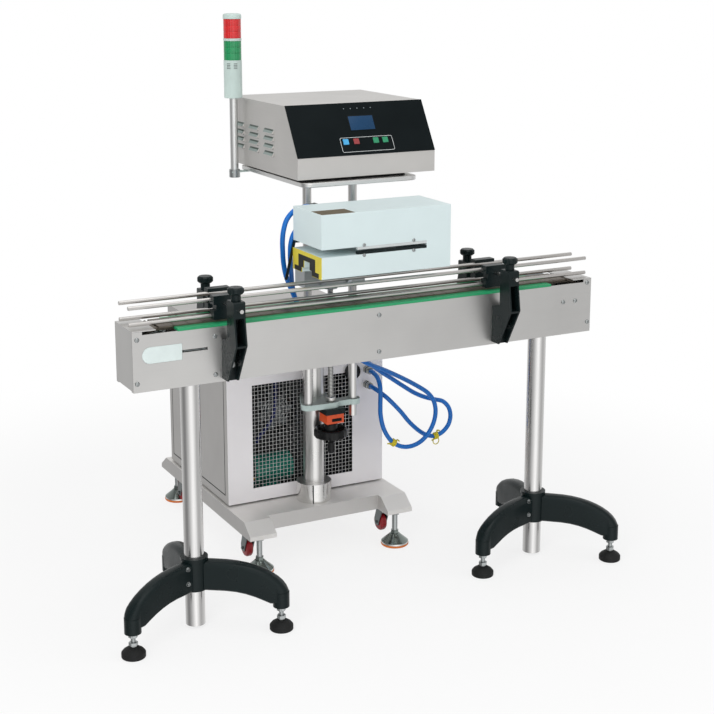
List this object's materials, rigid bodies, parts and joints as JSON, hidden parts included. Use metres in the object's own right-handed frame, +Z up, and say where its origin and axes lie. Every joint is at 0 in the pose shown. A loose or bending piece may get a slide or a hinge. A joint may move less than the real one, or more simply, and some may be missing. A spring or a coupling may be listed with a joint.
{
  "type": "induction cap sealer",
  "caption": "Induction cap sealer with a slat-chain conveyor on tripod legs, a screw-lifted sealing head with a cap tunnel, a control box and a water-cooling cabinet on casters.",
  "frame": {"origin": "centre of the footprint on the floor", "axes": "+X along the conveyor from the idler to the drive, +Y from the conveyor to the cabinet, +Z up"},
  "size_m": [1.4484, 1.0828, 1.509],
  "materials": {
    "stainless": "brushed",
    "polished_steel": "polished",
    "chain_steel": "worn",
    "green_strip": "matte",
    "black_plastic": "satin",
    "foot_rubber": "matte",
    "motor_paint": "satin",
    "pale_block": "satin",
    "plated_steel": "satin",
    "wheel_red": "satin",
    "mesh_wire": "bright",
    "pump_teal": "gloss",
    "radiator_metal": "matte",
    "fan_grey": "matte",
    "plate_alloy": "satin",
    "handwheel_black": "gloss",
    "indicator_orange": "gloss",
    "head_shell": "satin",
    "entry_yellow": "matte",
    "bronze": "satin",
    "carriage_alloy": "satin",
    "panel_black": "satin",
    "key_blue": "gloss",
    "key_red": "gloss",
    "key_green": "gloss",
    "tower_grey": "satin",
    "tower_lens": "gloss",
    "hose_blue": "gloss"
  },
  "bodies": {
    "frame": {"front_panels": "stainless", "rear_panel": "stainless", "end_covers": "stainless", "slat_chain": "chain_steel", "wear_strips": "green_strip", "side_brackets": "black_plastic", "leg_tubes": "polished_steel", "tripods": "black_plastic", "foot_pads": "foot_rubber", "levelling_studs": "plated_steel", "gear_motor": "motor_paint", "bearing_blocks": "pale_block", "base_frame": "stainless", "cabinet_front": "stainless", "cabinet_mesh": "mesh_wire", "cabinet_shell": "stainless", "pump": "pump_teal", "radiator": "radiator_metal", "cabinet_fittings": "polished_steel", "lift_posts": "polished_steel", "clamp_plate": "plate_alloy", "indicator": "indicator_orange", "shelf": "plate_alloy", "control_box": "stainless", "face_panel": "panel_black", "signal_tower": "tower_grey", "tower_lenses": "tower_lens", "hose_supply": "hose_blue", "hose_return": "hose_blue"},
    "head": {"head_housing": "head_shell", "entry_plate": "entry_yellow", "top_plate": "bronze", "head_trim": "black_plastic", "head_fittings": "polished_steel", "lift_carriage": "carriage_alloy"},
    "screw": {"lead_screw": "plated_steel", "handwheel": "handwheel_black"},
    "front_rail": {"front_rods": "polished_steel", "front_clamps": "black_plastic"},
    "rear_rail": {"rear_rods": "polished_steel", "rear_clamps": "black_plastic"},
    "drive": {"drive_shaft": "plated_steel"},
    "idler": {"idler_shaft": "plated_steel"},
    "fan": {"fan": "fan_grey"},
    "knob_front_left": {"knob_front_left": "black_plastic"},
    "knob_front_right": {"knob_front_right": "black_plastic"},
    "knob_rear_left": {"knob_rear_left": "black_plastic"},
    "knob_rear_right": {"knob_rear_right": "black_plastic"},
    "fork_front_left": {"fork_front_left": "plated_steel"},
    "fork_front_right": {"fork_front_right": "plated_steel"},
    "fork_rear_left": {"fork_rear_left": "plated_steel"},
    "fork_rear_right": {"fork_rear_right": "plated_steel"},
    "wheel_front_left": {"wheel_front_left": "wheel_red"},
    "wheel_front_right": {"wheel_front_right": "wheel_red"},
    "wheel_rear_left": {"wheel_rear_left": "wheel_red"},
    "wheel_rear_right": {"wheel_rear_right": "wheel_red"},
    "key_blue": {"key_blue": "key_blue"},
    "key_red": {"key_red": "key_red"},
    "key_green_left": {"key_green_left": "key_green"},
    "key_green_right": {"key_green_right": "key_green"}
  },
  "joints": [
    {"name": "handwheel_turn", "type": "hinge", "parent": "frame", "child": "screw", "pos_m": [0.01342, -0.1185, 0.358], "axis": [0, 0, 1], "range_deg": [-9020, 1370]},
    {"name": "head_lift", "type": "slide", "parent": "frame", "child": "head", "axis": [0, 0, 1], "range_m": [-0.015, 0.1]},
    {"name": "front_rail_slide", "type": "slide", "parent": "frame", "child": "front_rail", "axis": [0, 1, 0], "range_m": [-0.015, 0.015]},
    {"name": "rear_rail_slide", "type": "slide", "parent": "frame", "child": "rear_rail", "axis": [0, 1, 0], "range_m": [-0.015, 0.015]},
    {"name": "knob_front_left_turn", "type": "hinge", "parent": "frame", "child": "knob_front_left", "pos_m": [-0.41958, -0.48651, 0.885], "axis": [0, 0, 1], "range_deg": [0, 360]},
    {"name": "knob_front_right_turn", "type": "hinge", "parent": "frame", "child": "knob_front_right", "pos_m": [0.35342, -0.48651, 0.885], "axis": [0, 0, 1], "range_deg": [0, 360]},
    {"name": "knob_rear_left_turn", "type": "hinge", "parent": "frame", "child": "knob_rear_left", "pos_m": [-0.40158, -0.24651, 0.865], "axis": [0, 0, 1], "range_deg": [0, 360]},
    {"name": "knob_rear_right_turn", "type": "hinge", "parent": "frame", "child": "knob_rear_right", "pos_m": [0.37142, -0.24651, 0.865], "axis": [0, 0, 1], "range_deg": [0, 360]},
    {"name": "drive_turn", "type": "hinge", "parent": "frame", "child": "drive", "pos_m": [0.58742, -0.36651, 0.738], "axis": [0, 1, 0], "continuous": true},
    {"name": "idler_turn", "type": "hinge", "parent": "frame", "child": "idler", "pos_m": [-0.58558, -0.36651, 0.738], "axis": [0, 1, 0], "continuous": true},
    {"name": "fan_turn", "type": "hinge", "parent": "frame", "child": "fan", "pos_m": [-0.05058, 0.12449, 0.372], "axis": [0, 1, 0], "continuous": true},
    {"name": "swivel_front_left", "type": "hinge", "parent": "frame", "child": "fork_front_left", "pos_m": [-0.21458, -0.06451, 0.093], "axis": [0, 0, 1], "continuous": true},
    {"name": "roll_front_left", "type": "hinge", "parent": "fork_front_left", "child": "wheel_front_left", "pos_m": [-0.21458, -0.0465, 0.04], "axis": [1, 0, 0], "continuous": true},
    {"name": "swivel_front_right", "type": "hinge", "parent": "frame", "child": "fork_front_right", "pos_m": [0.21142, -0.06451, 0.093], "axis": [0, 0, 1], "continuous": true},
    {"name": "roll_front_right", "type": "hinge", "parent": "fork_front_right", "child": "wheel_front_right", "pos_m": [0.21142, -0.0465, 0.04], "axis": [1, 0, 0], "continuous": true},
    {"name": "swivel_rear_left", "type": "hinge", "parent": "frame", "child": "fork_rear_left", "pos_m": [-0.21458, 0.4335, 0.093], "axis": [0, 0, 1], "continuous": true},
    {"name": "roll_rear_left", "type": "hinge", "parent": "fork_rear_left", "child": "wheel_rear_left", "pos_m": [-0.21458, 0.45149, 0.04], "axis": [1, 0, 0], "continuous": true},
    {"name": "swivel_rear_right", "type": "hinge", "parent": "frame", "child": "fork_rear_right", "pos_m": [0.21142, 0.4335, 0.093], "axis": [0, 0, 1], "continuous": true},
    {"name": "roll_rear_right", "type": "hinge", "parent": "fork_rear_right", "child": "wheel_rear_right", "pos_m": [0.21142, 0.45149, 0.04], "axis": [1, 0, 0], "continuous": true},
    {"name": "key_blue_press", "type": "slide", "parent": "frame", "child": "key_blue", "axis": [0, 0.8572, -0.515], "range_m": [0, 0.001], "stiffness_N_per_m": 600},
    {"name": "key_red_press", "type": "slide", "parent": "frame", "child": "key_red", "axis": [0, 0.8572, -0.515], "range_m": [0, 0.001], "stiffness_N_per_m": 600},
    {"name": "key_green_left_press", "type": "slide", "parent": "frame", "child": "key_green_left", "axis": [0, 0.8572, -0.515], "range_m": [0, 0.001], "stiffness_N_per_m": 600},
    {"name": "key_green_right_press", "type": "slide", "parent": "frame", "child": "key_green_right", "axis": [0, 0.8572, -0.515], "range_m": [0, 0.001], "stiffness_N_per_m": 600}
  ],
  "couplings": [
    {"joint": "handwheel_turn", "follows": "head_lift", "rad_per_m": -1570.8},
    {"joint": "idler_turn", "follows": "drive_turn", "ratio": 1}
  ]
}
